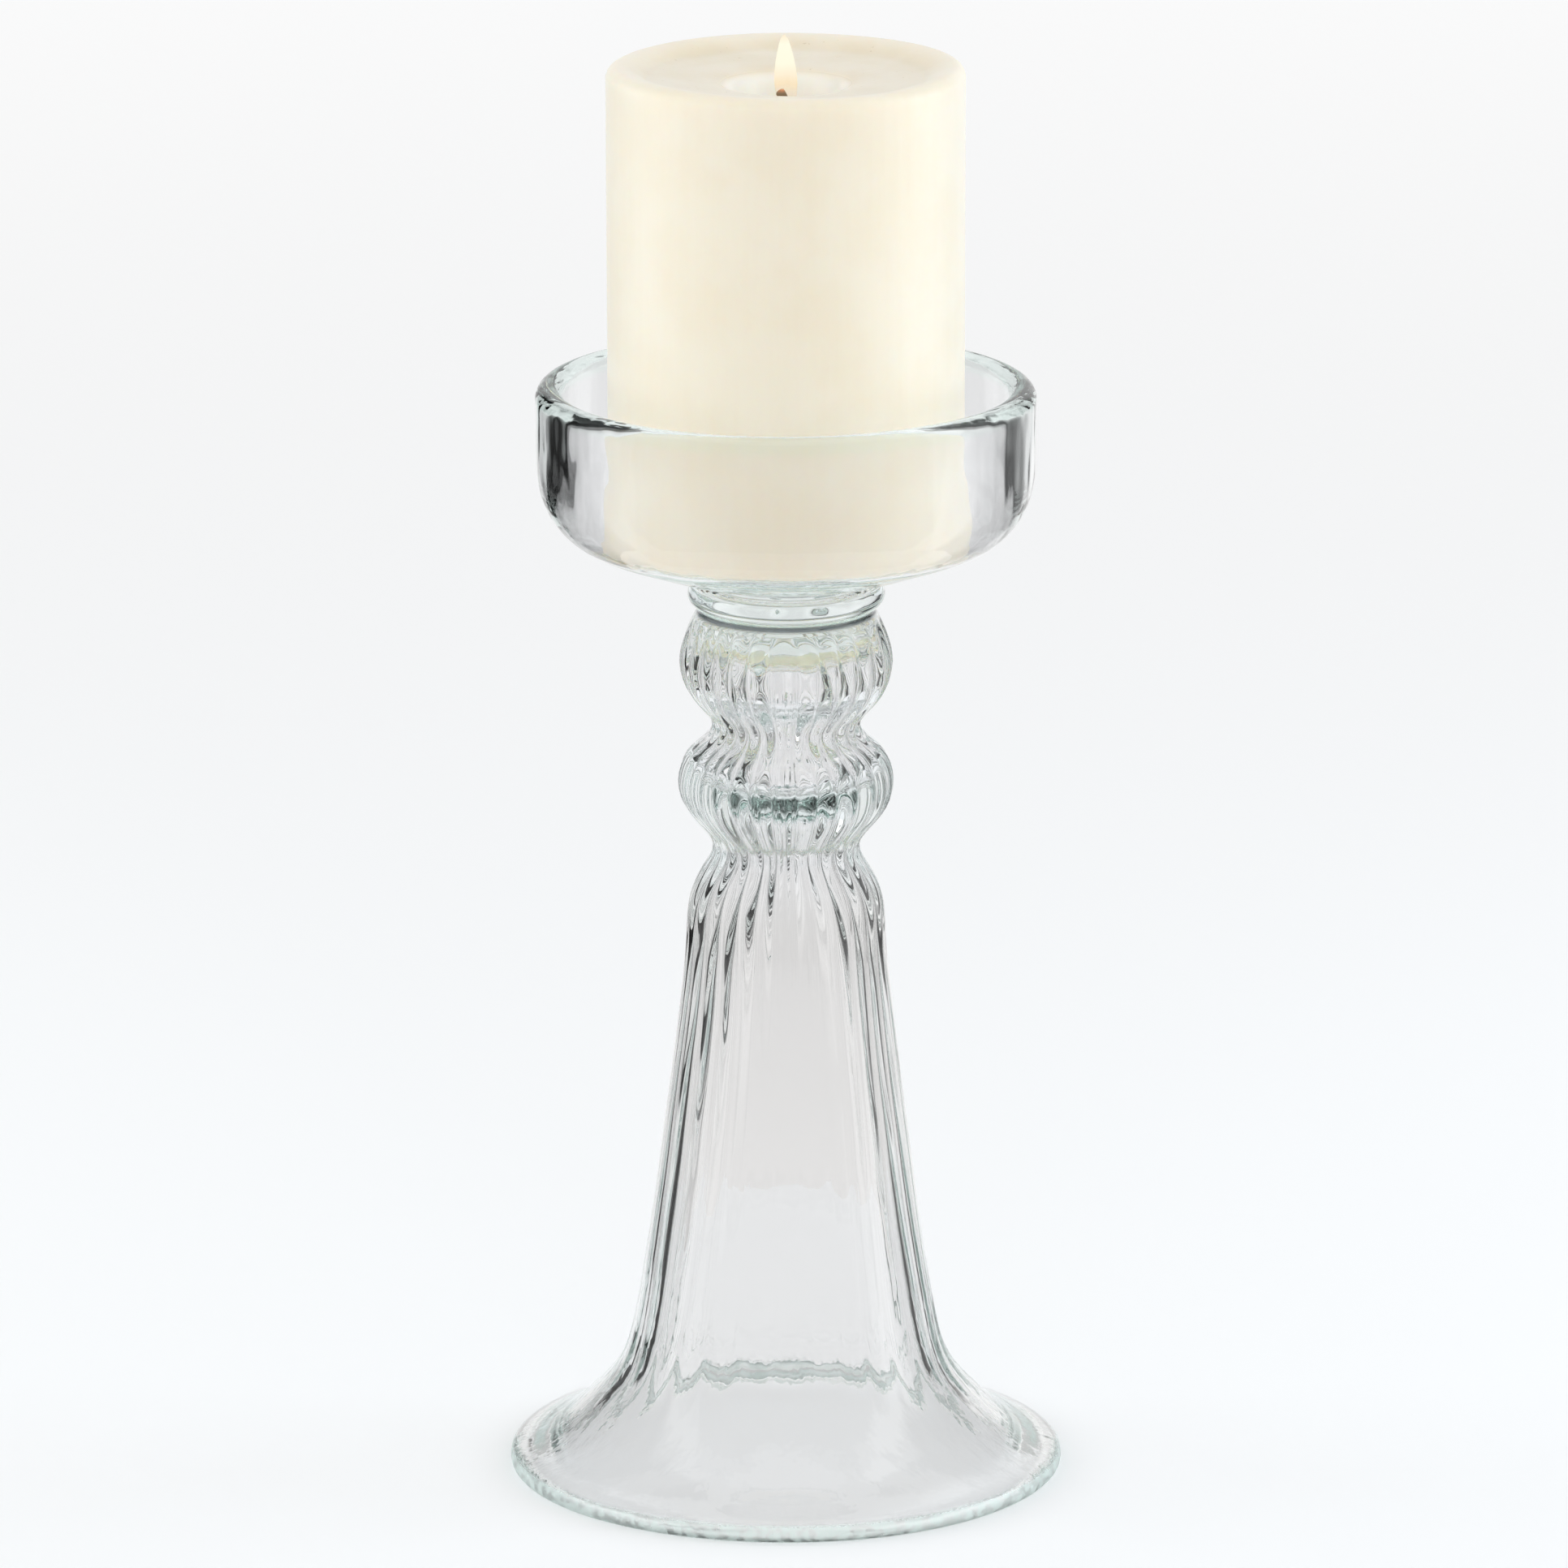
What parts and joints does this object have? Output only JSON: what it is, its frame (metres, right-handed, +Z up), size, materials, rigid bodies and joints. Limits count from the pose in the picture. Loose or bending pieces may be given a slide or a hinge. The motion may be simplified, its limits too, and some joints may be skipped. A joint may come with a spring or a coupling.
{
  "type": "pillar candle holder",
  "caption": "Clear blown-glass pedestal holder with a flared bell foot, ribbed knopped stem and shallow cup, carrying an ivory pillar candle.",
  "frame": {"origin": "centre of the foot ring on the surface that the holder stands on", "axes": "+Z up along the axis of the foot, the stem, the cup and the candle"},
  "size_m": [0.1186, 0.1186, 0.3073],
  "materials": {
    "clear_glass": "fire-polished clear glass with a faint green tint in thick sections",
    "ivory_wax": "smooth ivory wax, slightly translucent",
    "liquid_wax": "clear warm liquid wax, wet gloss",
    "wick_cotton": "braided cotton, charred at the tip",
    "tinned_steel": "tinned sheet"
  },
  "bodies": {
    "holder": {"bell_foot": "clear_glass", "lower_knop": "clear_glass", "upper_knop": "clear_glass", "collar": "clear_glass", "candle_cup": "clear_glass"},
    "candle": {"wax_body": "ivory_wax", "melt_pool": "liquid_wax", "wick": "wick_cotton", "wick_sustainer": "tinned_steel"}
  },
  "joints": [
    {"name": "candle_lift", "type": "slide", "parent": "holder", "child": "candle", "axis": [0, 0, 1], "range_m": [0, 0.06]}
  ]
}
